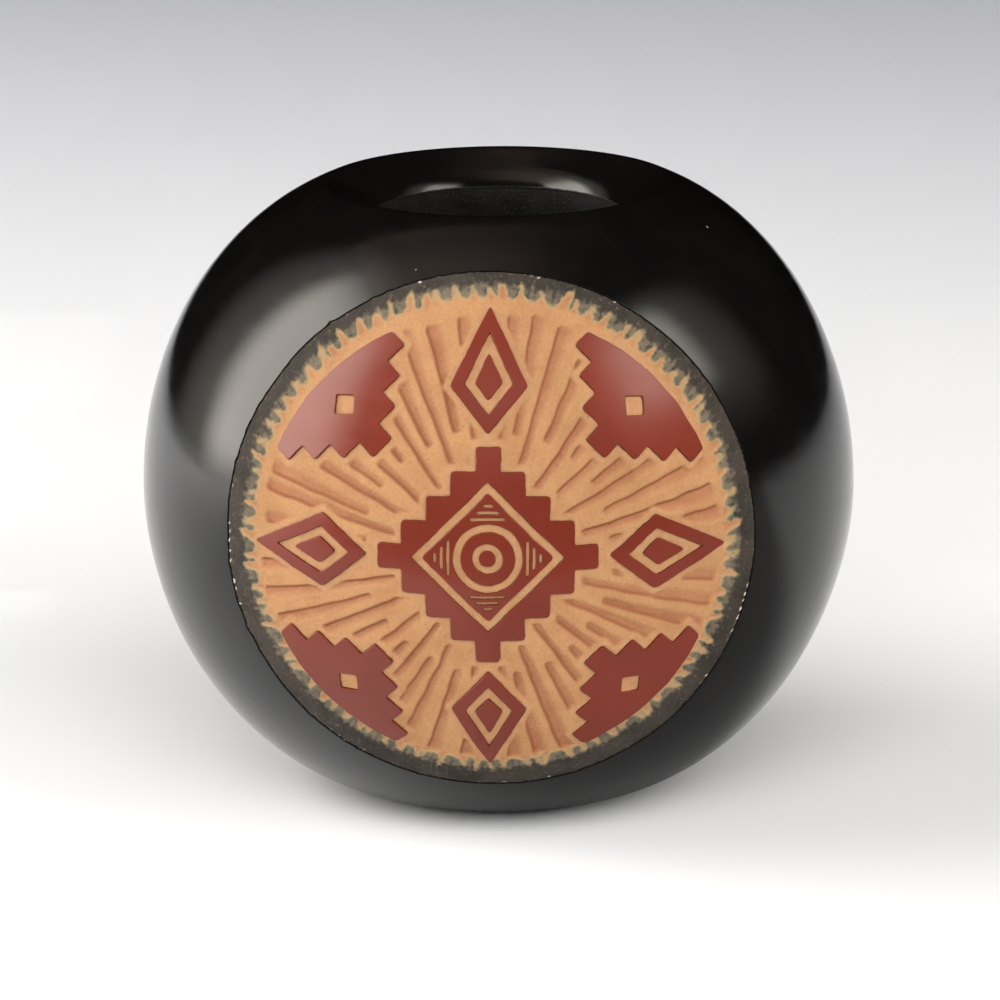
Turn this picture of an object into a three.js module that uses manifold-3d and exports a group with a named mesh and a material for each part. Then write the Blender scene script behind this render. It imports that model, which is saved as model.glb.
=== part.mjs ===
// A small seed bowl in earthenware: coiled by hand, coated with slip, burnished and fired in smoke.
// Sizes are in millimetres and +Z is up. The foot stands at the origin and the carved panel faces -Y.
import * as THREE from 'three';
import { mergeVertices } from 'three/addons/utils/BufferGeometryUtils.js';
import Module from 'manifold-3d';

const wasm = await Module();
wasm.setup();

// Outside of the finished bowl, a half outline turned about Z
const bellyRadius = 45;
const bellyHeight = 38.8;
const footRadius = 13.6;
const lowerFullness = 1.87;
const crownReach = 32.8;
const crownRise = 40.9;

// Mouth: a rounded crest, a funnel, the bend at its foot and the throat's wall. The slip and its polish
// stop part of the way round the bend, where the surface has turned by this much from facing outwards.
const rimRadius = 21.6;
const rimRound = 1.8;
const funnelWidth = 6.8;
const funnelSlope = THREE.MathUtils.degToRad(27);
const throatBend = 5;
const slipEndFacing = THREE.MathUtils.degToRad(155);
const throatDrop = 5.6;
const throatRound = 0.9;

// Wall, from the outside in: slip coat, a clearance, then the coiled clay
const slipThickness = 0.5;
const clearance = 0.3;
const clayThickness = 4.5;

// Coils: the base dish and the lip coil take their own share of the wall, the coils share the rest
const coilCount = 12;
const dishLength = 12;
const lipLength = 2.6;
const scarfLength = 1.6;

// Ends of each rope of clay: they meet in a leaning cut, staggered in threes and clear of the panel
const endLean = THREE.MathUtils.degToRad(45);
const endPlaces = 3;
const firstEndTurn = THREE.MathUtils.degToRad(5);
const endStagger = THREE.MathUtils.degToRad(85);

// Carved panel, measured along the surface from its centre
const panelRadius = 36;
const panelTurn = THREE.MathUtils.degToRad(-1.6);
const panelTilt = THREE.MathUtils.degToRad(2.5);

// Red motif on the panel: a stepped star, four kites and four cloud terraces
const starReach = 13.6;
const starSteps = 4;
const starWindow = 9.4;
const starGroove = 1;
const sunRadius = 3.3;
const sunGroove = 1;
const sunRing = 1.4;
const sunDot = 1;
const kiteGap = 1.4;
const kiteMargin = 4.8;
const kiteShoulder = 6;
const kiteHalfWidth = 4.8;
const kiteFrame = 1.5;
const kiteGroove = 1.1;
const terraceMargin = 5.4;
const terraceHalfAngle = THREE.MathUtils.degToRad(20.6);
const terraceSteps = 4;
const terraceStepHeight = 2.5;
const terraceTip = 1.7;
const terraceWindow = 1.7;
const terraceWindowDepth = 4.6;

// Facets
const facetsAround = 64;
const crestSteps = 4;
const bendSteps = 2;
const throatSteps = 2;
const circleSteps = 24;
const outlineSamples = 600;

const clayDepth = slipThickness + clearance;
const insideDepth = clayDepth + clayThickness;
const throatRadius = rimRadius - funnelWidth;
const terraceRadius = panelRadius - terraceMargin;

// Point of the outside outline at an angle from -90 degrees at the foot, through 0 at the belly
function outsideAt(angle) {
  const across = Math.cos(angle);
  const up = Math.sin(angle);
  if (angle < 0) {
    const power = 2 / lowerFullness;
    const radius = footRadius + (bellyRadius - footRadius) * Math.abs(across) ** power;
    return new THREE.Vector2(radius, bellyHeight * (1 - (-up) ** power));
  }
  return new THREE.Vector2(bellyRadius - crownReach * (1 - across), bellyHeight + crownRise * up);
}

function normalAt(angle) {
  const nudge = 1e-4;
  const before = outsideAt(Math.max(angle - nudge, -Math.PI / 2));
  const after = outsideAt(angle + nudge);
  return new THREE.Vector2(after.y - before.y, before.x - after.x).normalize();
}

// Angle at which the crest's round, set inside the outline, has its centre over the rim circle
function findCrestAngle() {
  let low = 0;
  let high = Math.PI / 2;
  for (let i = 0; i < 40; i += 1) {
    const middle = (low + high) / 2;
    const centre = outsideAt(middle).addScaledVector(normalAt(middle), -rimRound);
    if (centre.x > rimRadius) {
      low = middle;
    } else {
      high = middle;
    }
  }
  return low;
}

// The outline walked by its length, so that joints are spaced as a coil's height spaces them
const crestAngle = findCrestAngle();
const walk = [{ length: 0, angle: -Math.PI / 2 }];
for (let i = 1; i <= outlineSamples; i += 1) {
  const last = walk[i - 1];
  const angle = THREE.MathUtils.lerp(-Math.PI / 2, crestAngle, i / outlineSamples);
  const step = outsideAt(angle).distanceTo(outsideAt(last.angle));
  walk.push({ length: last.length + step, angle });
}
const crestLength = walk[outlineSamples].length;

// Point of the wall at a length from the foot's edge and a depth under the outside
function wallPoint(length, depth) {
  const reached = THREE.MathUtils.clamp(length, 0, crestLength);
  const next = Math.max(1, walk.findIndex((sample) => sample.length >= reached));
  const before = walk[next - 1];
  const share = (reached - before.length) / (walk[next].length - before.length);
  const angle = THREE.MathUtils.lerp(before.angle, walk[next].angle, share);
  return outsideAt(angle).addScaledVector(normalAt(angle), -depth);
}

function roundPoint(centre, radius, facing) {
  return new THREE.Vector2(centre.x + radius * Math.cos(facing), centre.y + radius * Math.sin(facing));
}

function roundPoints(centre, radius, from, to, steps) {
  const points = [];
  for (let i = 0; i <= steps; i += 1) {
    points.push(roundPoint(centre, radius, THREE.MathUtils.lerp(from, to, i / steps)));
  }
  return points;
}

// The crest's round meets the wall's outline and the funnel, the bend's meets the funnel and the throat
const crestFacing = normalAt(crestAngle).angle();
const funnelFacing = Math.PI / 2 + funnelSlope;
const crestCentre = outsideAt(crestAngle).addScaledVector(normalAt(crestAngle), -rimRound);
const funnelTop = roundPoint(crestCentre, rimRound, funnelFacing);
const cornerHeight = funnelTop.y - (funnelTop.x - throatRadius) * Math.tan(funnelSlope);
const bendReach = throatBend * Math.tan((Math.PI - funnelFacing) / 2);
const bendCentre = new THREE.Vector2(throatRadius + throatBend, cornerHeight - bendReach);

// Crest, funnel and bend at a depth under the polished surface, up to a facing on the bend
function mouthPoints(depth, end) {
  const crest = roundPoints(crestCentre, rimRound - depth, crestFacing, funnelFacing, crestSteps);
  const bend = roundPoints(bendCentre, throatBend - depth, funnelFacing, end, bendSteps);
  return [...crest.slice(1), ...bend];
}

// Heights along the wall where one coil ends and the next begins
const lipStart = crestLength - lipLength;
const joints = [];
for (let i = 0; i <= coilCount; i += 1) {
  joints.push(dishLength + ((lipStart - dishLength) * i) / coilCount);
}

// Joint faces are scarfed: they fall inwards, so that each coil laps the inside of the one below
const halfGap = clearance / 2 / Math.cos(Math.atan(scarfLength / clayThickness));
const outerEdge = (length) => wallPoint(length, clayDepth);
const innerEdge = (length) => wallPoint(length - scarfLength, insideDepth);

// Turns a profile about Z; the profile runs counter-clockwise with the radius to the right
function turned(profile, closed) {
  const points = closed ? [...profile, profile[0]] : profile;
  const geometry = new THREE.LatheGeometry(points, facetsAround);
  geometry.rotateX(Math.PI / 2);
  return geometry;
}

function baseDish() {
  const stations = 4;
  const end = joints[0] - halfGap;
  const profile = [new THREE.Vector2(0, 0), new THREE.Vector2(footRadius, 0)];
  for (let i = 0; i <= stations; i += 1) {
    profile.push(outerEdge((end * i) / stations));
  }
  const innerEnd = end - scarfLength;
  for (let i = stations; i >= 0; i -= 1) {
    profile.push(wallPoint((innerEnd * i) / stations, insideDepth));
  }
  profile.push(new THREE.Vector2(0, insideDepth));
  return turned(profile, false);
}

// A rope laid in a ring: its turned section with a thin leaning cut where its two ends meet
function laidRope(profile, number) {
  const radii = profile.map((point) => point.x);
  const heights = profile.map((point) => point.y);
  const width = Math.max(...radii) - Math.min(...radii);
  const height = Math.max(...heights) - Math.min(...heights);
  const cut = new THREE.BoxGeometry(2 * width, clearance, 2 * height / Math.cos(endLean));
  cut.rotateX(endLean);
  cut.translate(Math.min(...radii) + width / 2, 0, Math.min(...heights) + height / 2);
  cut.rotateZ(firstEndTurn + endStagger * (number % endPlaces));
  return fromSolid(toSolid(turned(profile, true)).subtract(toSolid(cut)));
}

function wallCoil(number) {
  const low = joints[number] + halfGap;
  const high = joints[number + 1] - halfGap;
  const profile = [outerEdge(low), outerEdge(high), innerEdge(high), innerEdge(low)];
  return laidRope(profile, number);
}

// The slip coat's end lies in a step of the lip coil, whose bare clay goes on round the bend
function lipCoil() {
  const low = lipStart + halfGap;
  const step = slipEndFacing + clearance / throatBend;
  const throatBottom = cornerHeight - throatDrop;
  const profile = [outerEdge(low), outerEdge(crestLength), ...mouthPoints(clayDepth, step)];
  profile.push(...roundPoints(bendCentre, throatBend, step, Math.PI, 1));
  for (let i = 0; i <= throatSteps; i += 1) {
    const angle = ((Math.PI / 2) * i) / throatSteps;
    const x = throatRadius + throatRound * (1 - Math.cos(angle));
    profile.push(new THREE.Vector2(x, throatBottom + throatRound * (1 - Math.sin(angle))));
  }
  profile.push(innerEdge(low));
  return laidRope(profile, coilCount);
}

function wholeSlipCoat() {
  const lengths = [clearance, dishLength / 2, ...joints, crestLength];
  const outer = [...lengths.map((length) => wallPoint(length, 0)), ...mouthPoints(0, slipEndFacing)];
  const under = lengths.map((length) => wallPoint(length, slipThickness));
  const inner = [...under, ...mouthPoints(slipThickness, slipEndFacing)];
  return turned([...outer, ...inner.reverse()], true);
}

function toSolid(geometry) {
  const bare = geometry.clone();
  bare.deleteAttribute('normal');
  bare.deleteAttribute('uv');
  const merged = mergeVertices(bare, 1e-4);
  const corners = [];
  const index = merged.index.array;
  for (let i = 0; i < index.length; i += 3) {
    const [a, b, c] = [index[i], index[i + 1], index[i + 2]];
    if (a !== b && b !== c && c !== a) {
      corners.push(a, b, c);
    }
  }
  const vertProperties = new Float32Array(merged.attributes.position.array);
  const triVerts = new Uint32Array(corners);
  return new wasm.Manifold(new wasm.Mesh({ numProp: 3, vertProperties, triVerts }));
}

function fromSolid(solid) {
  const mesh = solid.getMesh();
  const geometry = new THREE.BufferGeometry();
  const positions = new Float32Array(mesh.vertProperties);
  geometry.setAttribute('position', new THREE.BufferAttribute(positions, 3));
  geometry.setIndex(new THREE.BufferAttribute(new Uint32Array(mesh.triVerts), 1));
  geometry.computeVertexNormals();
  return geometry;
}

// Panel directions: the panel is laid out flat, in millimetres along the surface from its centre
const panelAxis = new THREE.Vector3(
  Math.sin(panelTurn) * Math.cos(panelTilt),
  -Math.cos(panelTurn) * Math.cos(panelTilt),
  Math.sin(panelTilt),
);
const panelRight = new THREE.Vector3(Math.cos(panelTurn), Math.sin(panelTurn), 0);
const panelUp = new THREE.Vector3().crossVectors(panelAxis, panelRight);

function panelDirection(point) {
  const away = point.length() / bellyRadius;
  const turn = point.angle();
  const across = Math.sin(away) * Math.cos(turn);
  const up = Math.sin(away) * Math.sin(turn);
  return new THREE.Vector3()
    .addScaledVector(panelAxis, Math.cos(away))
    .addScaledVector(panelRight, across)
    .addScaledVector(panelUp, up);
}

// A wedge with straight sides that spreads from the bowl's middle out through the wall
function radialWedge(outline, holes = []) {
  const nearReach = 0.5 * bellyRadius;
  const farReach = 1.8 * bellyRadius;
  const contour = THREE.ShapeUtils.isClockWise(outline) ? [...outline].reverse() : outline;
  const cuts = holes.map((hole) => (THREE.ShapeUtils.isClockWise(hole) ? hole : [...hole].reverse()));
  const faces = THREE.ShapeUtils.triangulateShape(contour, cuts);
  const loops = [contour, ...cuts];
  const flat = loops.flat();
  const positions = [];
  for (const reach of [nearReach, farReach]) {
    for (const point of flat) {
      const place = panelDirection(point).multiplyScalar(reach);
      positions.push(place.x, place.y, place.z + bellyHeight);
    }
  }
  const far = flat.length;
  const index = [];
  for (const [a, b, c] of faces) {
    index.push(a, c, b, far + a, far + b, far + c);
  }
  let start = 0;
  for (const loop of loops) {
    for (let i = 0; i < loop.length; i += 1) {
      const a = start + i;
      const b = start + ((i + 1) % loop.length);
      index.push(a, b, far + b, a, far + b, far + a);
    }
    start += loop.length;
  }
  const geometry = new THREE.BufferGeometry();
  geometry.setAttribute('position', new THREE.Float32BufferAttribute(positions, 3));
  geometry.setIndex(index);
  return toSolid(geometry);
}

// Outlines on the flat panel
function turnedOutline(outline, angle) {
  return outline.map((point) => point.clone().rotateAround(new THREE.Vector2(), angle));
}

function circle(radius) {
  const points = [];
  for (let i = 0; i < circleSteps; i += 1) {
    const angle = (2 * Math.PI * i) / circleSteps;
    points.push(new THREE.Vector2(radius * Math.cos(angle), radius * Math.sin(angle)));
  }
  return points;
}

function steppedDiamond(reach, steps) {
  const step = reach / (steps + 0.5);
  const quarter = [];
  for (let i = 0; i <= steps; i += 1) {
    const height = (i + 0.5) * step;
    quarter.push(new THREE.Vector2(reach - i * step, height));
    if (i < steps) {
      quarter.push(new THREE.Vector2(reach - (i + 1) * step, height));
    }
  }
  return [0, 1, 2, 3].flatMap((i) => turnedOutline(quarter, (Math.PI / 2) * i));
}

function diamond(halfWidth, low, waist, high) {
  return [
    new THREE.Vector2(halfWidth, waist),
    new THREE.Vector2(0, high),
    new THREE.Vector2(-halfWidth, waist),
    new THREE.Vector2(0, low),
  ];
}

// Moves each side of a counter-clockwise outline inwards by the same width
function inset(outline, width) {
  const side = (from, to) => new THREE.Vector2(from.y - to.y, to.x - from.x).normalize();
  return outline.map((corner, i) => {
    const before = outline[(i + outline.length - 1) % outline.length];
    const after = outline[(i + 1) % outline.length];
    const first = side(before, corner);
    const second = side(corner, after);
    const reach = width / (1 + first.dot(second));
    return corner.clone().addScaledVector(first.add(second), reach);
  });
}

// Stairs that climb down from the panel's border to a blunt tip near the star
function terrace() {
  const points = [];
  const arcSteps = 6;
  for (let i = 0; i <= arcSteps; i += 1) {
    const angle = terraceHalfAngle * (1 - (2 * i) / arcSteps);
    points.push(new THREE.Vector2(terraceRadius * Math.sin(angle), terraceRadius * Math.cos(angle)));
  }
  const corner = points[0];
  const stepWidth = (corner.x - terraceTip) / (terraceSteps - 1);
  const stairs = [];
  for (let i = 0; i < terraceSteps; i += 1) {
    const x = corner.x - i * stepWidth;
    const top = corner.y - i * terraceStepHeight;
    if (i > 0) {
      stairs.push(new THREE.Vector2(x, top));
    }
    stairs.push(new THREE.Vector2(x, top - terraceStepHeight));
  }
  const left = stairs.map((point) => new THREE.Vector2(-point.x, point.y));
  return [...points, ...left, ...stairs.reverse()];
}

// Finishes
const smokedClay = new THREE.MeshStandardMaterial({ color: 0x2b2623, roughness: 0.9, metalness: 0 });
const tanClay = new THREE.MeshStandardMaterial({ color: 0xdea56e, roughness: 0.9, metalness: 0 });
const blackSlip = new THREE.MeshStandardMaterial({ color: 0x0b0a0a, roughness: 0.15, metalness: 0 });
const redSlip = new THREE.MeshStandardMaterial({ color: 0x963c2d, roughness: 0.35, metalness: 0 });

const bowl = new THREE.Group();

function add(name, geometry, material) {
  const mesh = new THREE.Mesh(geometry, material);
  mesh.name = name;
  bowl.add(mesh);
}

// Clay body
add('base_dish', baseDish(), smokedClay);
for (let i = 0; i < coilCount; i += 1) {
  const number = String(i + 1).padStart(2, '0');
  add(`wall_coil_${number}`, wallCoil(i), tanClay);
}
add('lip_coil', lipCoil(), smokedClay);

// Slip coat, carved through at the panel
const slipCoat = toSolid(wholeSlipCoat());
add('black_slip_coat', fromSolid(slipCoat.subtract(radialWedge(circle(panelRadius)))), blackSlip);

function addRed(name, outline, holes = []) {
  add(name, fromSolid(slipCoat.intersect(radialWedge(outline, holes))), redSlip);
}

// Stepped star with a sun in its window
const windowOutline = diamond(starWindow, -starWindow, 0, starWindow);
addRed('star_frame', steppedDiamond(starReach, starSteps), [windowOutline]);
addRed('star_diamond', inset(windowOutline, starGroove), [circle(sunRadius + sunGroove)]);
addRed('star_sun_ring', circle(sunRadius), [circle(sunRadius - sunRing)]);
addRed('star_sun_dot', circle(sunDot));

// Kites point up, left, down and right of the star
const kiteStart = starReach + kiteGap;
const kiteOutline = diamond(kiteHalfWidth, kiteStart, kiteStart + kiteShoulder, panelRadius - kiteMargin);
['top', 'left', 'bottom', 'right'].forEach((side, i) => {
  const angle = (Math.PI / 2) * i;
  const hole = turnedOutline(inset(kiteOutline, kiteFrame), angle);
  addRed(`kite_frame_${side}`, turnedOutline(kiteOutline, angle), [hole]);
  addRed(`kite_heart_${side}`, turnedOutline(inset(kiteOutline, kiteFrame + kiteGroove), angle));
});

// Cloud terraces stand on the diagonals
['upper_left', 'lower_left', 'lower_right', 'upper_right'].forEach((side, i) => {
  const angle = (Math.PI / 2) * (i + 0.5);
  const middle = terraceRadius - terraceWindowDepth;
  const hole = diamond(terraceWindow, middle - terraceWindow, middle, middle + terraceWindow);
  addRed(`cloud_terrace_${side}`, turnedOutline(terrace(), angle), [turnedOutline(hole, angle)]);
});

export default bowl;
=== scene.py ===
# A small seed bowl, coiled by hand in earthenware, coated with slip, burnished, fired in smoke and then
# carved on one side. Lengths are in metres and +Z is up. The carved panel faces -Y.
import math

import bpy
import numpy as np
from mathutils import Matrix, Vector, geometry


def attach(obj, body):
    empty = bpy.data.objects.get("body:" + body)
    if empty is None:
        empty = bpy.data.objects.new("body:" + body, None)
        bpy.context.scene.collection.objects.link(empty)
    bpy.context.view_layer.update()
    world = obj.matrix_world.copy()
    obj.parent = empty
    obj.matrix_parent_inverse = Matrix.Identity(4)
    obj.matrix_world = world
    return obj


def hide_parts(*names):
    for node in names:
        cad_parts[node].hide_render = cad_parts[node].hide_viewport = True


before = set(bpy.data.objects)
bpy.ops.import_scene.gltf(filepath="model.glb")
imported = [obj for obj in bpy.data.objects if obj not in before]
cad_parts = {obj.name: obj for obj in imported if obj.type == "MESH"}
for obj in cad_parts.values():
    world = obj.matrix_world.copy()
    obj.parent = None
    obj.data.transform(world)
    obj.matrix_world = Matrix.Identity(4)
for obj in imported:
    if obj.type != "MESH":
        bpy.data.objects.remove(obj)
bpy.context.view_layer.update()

# Base dish. The potter pats a disc of clay into a saucer-shaped rest, and its flat becomes the foot.
# It is bare earthenware, blackened by the smoke of the firing. The first rope of clay is pressed onto its
# scarfed edge, and its inside is smoothed with a finger.
belly_radius = 0.045
belly_height = 0.0388
foot_radius = 0.0136
lower_fullness = 1.87
crown_reach = 0.0328
crown_rise = 0.0409
rim_radius = 0.0216
rim_round = 0.0018
funnel_width = 0.0068
funnel_slope = math.radians(27)
throat_radius = rim_radius - funnel_width
throat_bend = 0.005
slip_end_facing = math.radians(155)
slip_thickness = 0.0005
clay_depth = 0.0008
inside_depth = 0.0053
dish_length = 0.012
scarf_length = 0.0016
dish_stations = 14
dish_edge_round = 0.0003
finger_marks = 0.00012
true_foot = 0.006
dent_size = 0.058
dent_depth = 0.00026
ripple_size = 0.019
ripple_depth = 0.00007
crown_sink = 0.0095
turns_around = 160
crease_angle = math.radians(38)
foot_angle = -math.pi / 2
nudge = 0.0001


def outline_at(angle):
    """Radius and height of the bowl's outside at an angle: -90 degrees at the foot and 0 at the belly."""
    across = np.cos(angle)
    rise = np.sin(angle)
    power = 2 / lower_fullness
    low_radius = foot_radius + (belly_radius - foot_radius) * np.abs(across) ** power
    low_height = belly_height * (1 - np.abs(rise) ** power)
    high_radius = belly_radius - crown_reach * (1 - across)
    high_height = belly_height + crown_rise * rise
    radius = np.where(angle < 0, low_radius, high_radius)
    return np.stack([radius, np.where(angle < 0, low_height, high_height)], axis=-1)


def unit(ways):
    """The same directions, each one long."""
    return ways / np.linalg.norm(ways, axis=-1, keepdims=True)


def compass(angle):
    """Direction at an angle from the first axis."""
    return np.stack([np.cos(angle), np.sin(angle)], axis=-1)


def outward_at(angle):
    """Direction that the outside faces there."""
    run = outline_at(angle + nudge) - outline_at(np.maximum(angle - nudge, foot_angle))
    return unit(np.stack([run[..., 1], -run[..., 0]], axis=-1))


def find_crest_angle():
    """Angle where the rim's round, set inside the outline, has its centre over the rim circle."""
    low, high = 0.0, math.pi / 2
    for _ in range(40):
        middle = (low + high) / 2
        centre = outline_at(np.array(middle)) - rim_round * outward_at(np.array(middle))
        low, high = (middle, high) if centre[0] > rim_radius else (low, middle)
    return low


def polished_path():
    """The polished surface from the foot's edge, over the rim, down the funnel and round the bend."""
    angles = np.linspace(foot_angle, find_crest_angle(), 1500)
    wall = outline_at(angles)
    wall_facing = outward_at(angles)
    centre = wall[-1] - rim_round * wall_facing[-1]
    start = math.atan2(wall_facing[-1][1], wall_facing[-1][0])
    rim_facing = compass(np.linspace(start, math.pi / 2 + funnel_slope, 60)[1:])
    rim = centre + rim_round * rim_facing
    down = np.array([-math.cos(funnel_slope), -math.sin(funnel_slope)])
    corner = rim[-1] + (rim[-1][0] - throat_radius) / math.cos(funnel_slope) * down
    reach = throat_bend * math.tan((math.pi / 2 - funnel_slope) / 2)
    bend_centre = np.array([throat_radius + throat_bend, corner[1] - reach])
    funnel = np.linspace(rim[-1], corner - reach * down, 40)[1:]
    funnel_facing = np.broadcast_to(rim_facing[-1], funnel.shape)
    bend_facing = compass(np.linspace(math.pi / 2 + funnel_slope, slip_end_facing, 40)[1:])
    bend = bend_centre + throat_bend * bend_facing
    points = np.concatenate([wall, rim, funnel, bend])
    facing = np.concatenate([wall_facing, rim_facing, funnel_facing, bend_facing])
    steps = np.linalg.norm(np.diff(points, axis=0), axis=1)
    lengths = np.concatenate([[0], np.cumsum(steps)])
    marks = lengths[[len(wall) - 1, len(wall) + len(rim) - 1]]
    return lengths, points, facing, marks, bend_centre, corner[1]


path_lengths, path_points, path_facing, path_marks, bend_centre, corner_height = polished_path()
wall_length, rim_end = path_marks
slip_end = path_lengths[-1]


def wall_point(length, depth):
    """Radius and height at a length from the foot's edge and a depth under the polished surface."""
    place = np.stack([np.interp(length, path_lengths, path_points[:, k]) for k in (0, 1)], axis=-1)
    facing = np.stack([np.interp(length, path_lengths, path_facing[:, k]) for k in (0, 1)], axis=-1)
    return place - np.asarray(depth)[..., None] * unit(facing)


def waves(points, size, seed):
    """Smooth unevenness from -1 to 1, in lumps that are about as long as size."""
    draw = np.random.default_rng(seed)
    total = np.zeros(len(points))
    for _ in range(12):
        way = draw.normal(size=points.shape[1])
        way *= 2 * math.pi / size * draw.uniform(0.7, 1.3) / np.linalg.norm(way)
        total += np.sin(points @ way + draw.uniform(0, 2 * math.pi))
    return np.clip(total / 6, -1, 1)


def shaped_by_hand(points):
    """The slightly uneven form that hands and scrapers leave, always a little inside the true form."""
    x, y, z = points.T
    lift = np.clip(z / (belly_height + crown_rise), 0, 1)
    free = np.clip(z / true_foot, 0, 1)
    dents = dent_depth * (0.5 + 0.5 * waves(points, dent_size, 11))
    ripples = ripple_depth * (0.5 + 0.5 * waves(points, ripple_size, 12))
    squeeze = 1 - free * (dents + ripples) / belly_radius
    low_side = 0.5 + 0.5 * np.tanh((0.9 * y - x) / belly_radius)
    sink = 1 - crown_sink * lift * lift * (3 - 2 * lift) * low_side
    return np.stack([x * squeeze, y * squeeze, z * sink], axis=-1)


def new_piece(name, corners, faces, material, facing=None):
    """A named piece made of corners and faces. Without given facings it is smooth up to a crease."""
    mesh = bpy.data.meshes.new(name)
    mesh.from_pydata(corners.tolist(), [], faces)
    mesh.polygons.foreach_set("use_smooth", [True] * len(mesh.polygons))
    if facing is None:
        mesh.set_sharp_from_angle(angle=crease_angle)
    else:
        mesh.normals_split_custom_set_from_vertices(facing.tolist())
    mesh.materials.append(material)
    piece = bpy.data.objects.new(name, mesh)
    bpy.context.scene.collection.objects.link(piece)
    return piece


def spun(profile, turn):
    """Corners of a profile, one row of radius and height to a turn about the bowl's axis."""
    radius, height = profile.T
    x = np.cos(turn) * radius[:, None]
    y = np.sin(turn) * radius[:, None]
    z = np.broadcast_to(height[:, None], x.shape)
    return np.stack([x, y, z], axis=-1)


def fill_sockets(tree, node, **inputs):
    """Sets sockets to values or joins them to other nodes. A name such as i3 stands for socket 3."""
    for key, value in inputs.items():
        numbered = key[0] == "i" and key[1:].isdigit()
        socket = node.inputs[int(key[1:]) if numbered else key.replace("_", " ")]
        if isinstance(value, bpy.types.NodeSocket):
            tree.links.new(value, socket)
        else:
            socket.default_value = value


def add_node(tree, kind, settings=None, **inputs):
    """A shader node with its settings and its sockets filled."""
    node = tree.nodes.new(kind)
    for key, value in (settings or {}).items():
        setattr(node, key, value)
    fill_sockets(tree, node, **inputs)
    return node


def work_out(tree, operation, *values):
    """Result of a math node on two or three values."""
    inputs = {f"i{place}": value for place, value in enumerate(values)}
    return add_node(tree, "ShaderNodeMath", {"operation": operation}, **inputs).outputs["Value"]


def blend_colours(tree, share, first, second):
    """Mix of two colours by a share."""
    return add_node(
        tree, "ShaderNodeMix", {"data_type": "RGBA"}, i0=share, i6=first, i7=second
    ).outputs[2]


def stretch(tree, value, low, high, to_low=0.0, to_high=1.0):
    """A value moved from one range to another, and held inside it."""
    return add_node(
        tree, "ShaderNodeMapRange", {"interpolation_type": "SMOOTHSTEP"},
        Value=value, From_Min=low, From_Max=high, To_Min=to_low, To_Max=to_high,
    ).outputs["Result"]


def noise(tree, place, scale, detail=3.0):
    """Cloudy noise over the surface, its lumps given by the scale in lumps to the metre."""
    return add_node(tree, "ShaderNodeTexNoise", Vector=place, Scale=scale, Detail=detail).outputs["Fac"]


def surface_place(tree):
    """Place in the object's own metres, so that a pattern stays on the piece."""
    return add_node(tree, "ShaderNodeTexCoord").outputs["Object"]


def colour(red, green, blue):
    """A colour as it is seen on screen, from 0 to 255, turned into the shader's linear values."""
    seen = np.array([red, green, blue]) / 255
    linear = np.where(seen <= 0.04045, seen / 12.92, ((seen + 0.055) / 1.055) ** 2.4)
    return (*linear.tolist(), 1.0)


def new_group(name, inputs, outputs):
    """An empty shader node group with named inputs and outputs."""
    group = bpy.data.node_groups.new(name, "ShaderNodeTree")
    for socket_name, kind, value in inputs:
        socket = group.interface.new_socket(socket_name, in_out="INPUT", socket_type=kind)
        socket.default_value = value
    for socket_name, kind in outputs:
        group.interface.new_socket(socket_name, in_out="OUTPUT", socket_type=kind)
    return group, group.nodes.new("NodeGroupInput").outputs, group.nodes.new("NodeGroupOutput").inputs


def make_clay_grain():
    """Fired earthenware: cloudy patches, fine temper grains and a few dark specks of volcanic ash."""
    group, given, out = new_group(
        "clay_grain",
        [
            ("Clay", "NodeSocketColor", (0.5, 0.5, 0.5, 1)),
            ("Patches", "NodeSocketColor", (0.3, 0.3, 0.3, 1)),
            ("Specks", "NodeSocketColor", (0.05, 0.05, 0.05, 1)),
            ("Speck Share", "NodeSocketFloat", 0.1),
        ],
        [("Colour", "NodeSocketColor"), ("Height", "NodeSocketFloat")],
    )
    place = surface_place(group)
    cloud = stretch(group, noise(group, place, 260.0, 4.0), 0.35, 0.7)
    grain = noise(group, place, 2600.0)
    clay = blend_colours(group, cloud, given["Clay"], given["Patches"])
    fine = add_node(group, "ShaderNodeMapRange", Value=grain, To_Min=0.82, To_Max=1.18).outputs["Result"]
    clay = add_node(group, "ShaderNodeVectorMath", {"operation": "SCALE"}, i0=clay, Scale=fine)
    cells = add_node(group, "ShaderNodeTexVoronoi", Vector=place, Scale=2400.0).outputs
    chosen = add_node(group, "ShaderNodeSeparateColor", Color=cells["Color"]).outputs["Red"]
    few = work_out(group, "LESS_THAN", chosen, given["Speck Share"])
    speck = work_out(group, "MULTIPLY", stretch(group, cells["Distance"], 0.28, 0.12), few)
    fired = blend_colours(group, speck, clay.outputs["Vector"], given["Specks"])
    group.links.new(fired, out["Colour"])
    group.links.new(grain, out["Height"])
    return group


clay_grain = make_clay_grain()


def new_material(name):
    """A material with its own shader, ready for nodes."""
    material = bpy.data.materials.new(name)
    material.use_nodes = True
    return material, material.node_tree, material.node_tree.nodes["Principled BSDF"]


def use_group(tree, group, **inputs):
    """Places a shared group in a material with that material's own values."""
    return add_node(tree, "ShaderNodeGroup", {"node_tree": group}, **inputs).outputs


def mix_clay(tree, clay, patches, specks, speck_share):
    """One kind of clay in a material, from the colours of its body, its patches and its specks."""
    return use_group(
        tree, clay_grain, Clay=colour(*clay), Patches=colour(*patches), Specks=colour(*specks),
        Speck_Share=speck_share,
    )


def relief(tree, height, distance):
    """Normal of fine relief that is as deep as distance."""
    return add_node(tree, "ShaderNodeBump", Height=height, Distance=distance).outputs["Normal"]


smoked_tones = ((17, 16, 15), (10, 9, 9), (42, 40, 37), 0.5)
dull_specular = 0.12


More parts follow.
